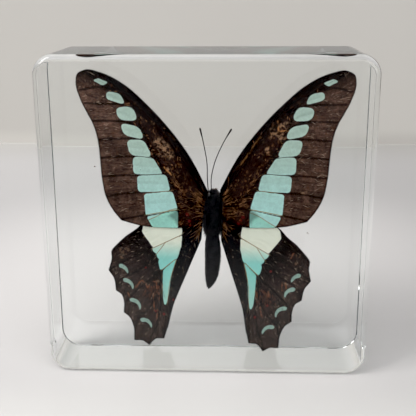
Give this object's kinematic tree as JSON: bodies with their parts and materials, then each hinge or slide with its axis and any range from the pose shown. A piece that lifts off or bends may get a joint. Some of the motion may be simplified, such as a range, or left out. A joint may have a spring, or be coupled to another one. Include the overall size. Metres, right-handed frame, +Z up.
{
  "type": "butterfly specimen in clear resin block",
  "caption": "Clear cast resin block with rounded corners that stands on its narrow edge and displays a spread-winged dried butterfly sealed inside.",
  "frame": {"origin": "middle of the flat underside that the block stands on", "axes": "+Z up; -Y out of the broad viewing face, where the butterfly's upper side shows; +X to the viewer's right; Y is the thickness, the shortest side"},
  "size_m": [0.075, 0.023, 0.075],
  "materials": {
    "clear_resin": "water-clear cast resin, polished on all faces",
    "wing_scales": "dark brown scaled wing membrane with a pale blue-green band, matt to faintly satin",
    "insect_body": "black chitin under short dark and golden hair"
  },
  "bodies": {
    "root": {"resin_block": "clear_resin"}
  },
  "joints": []
}
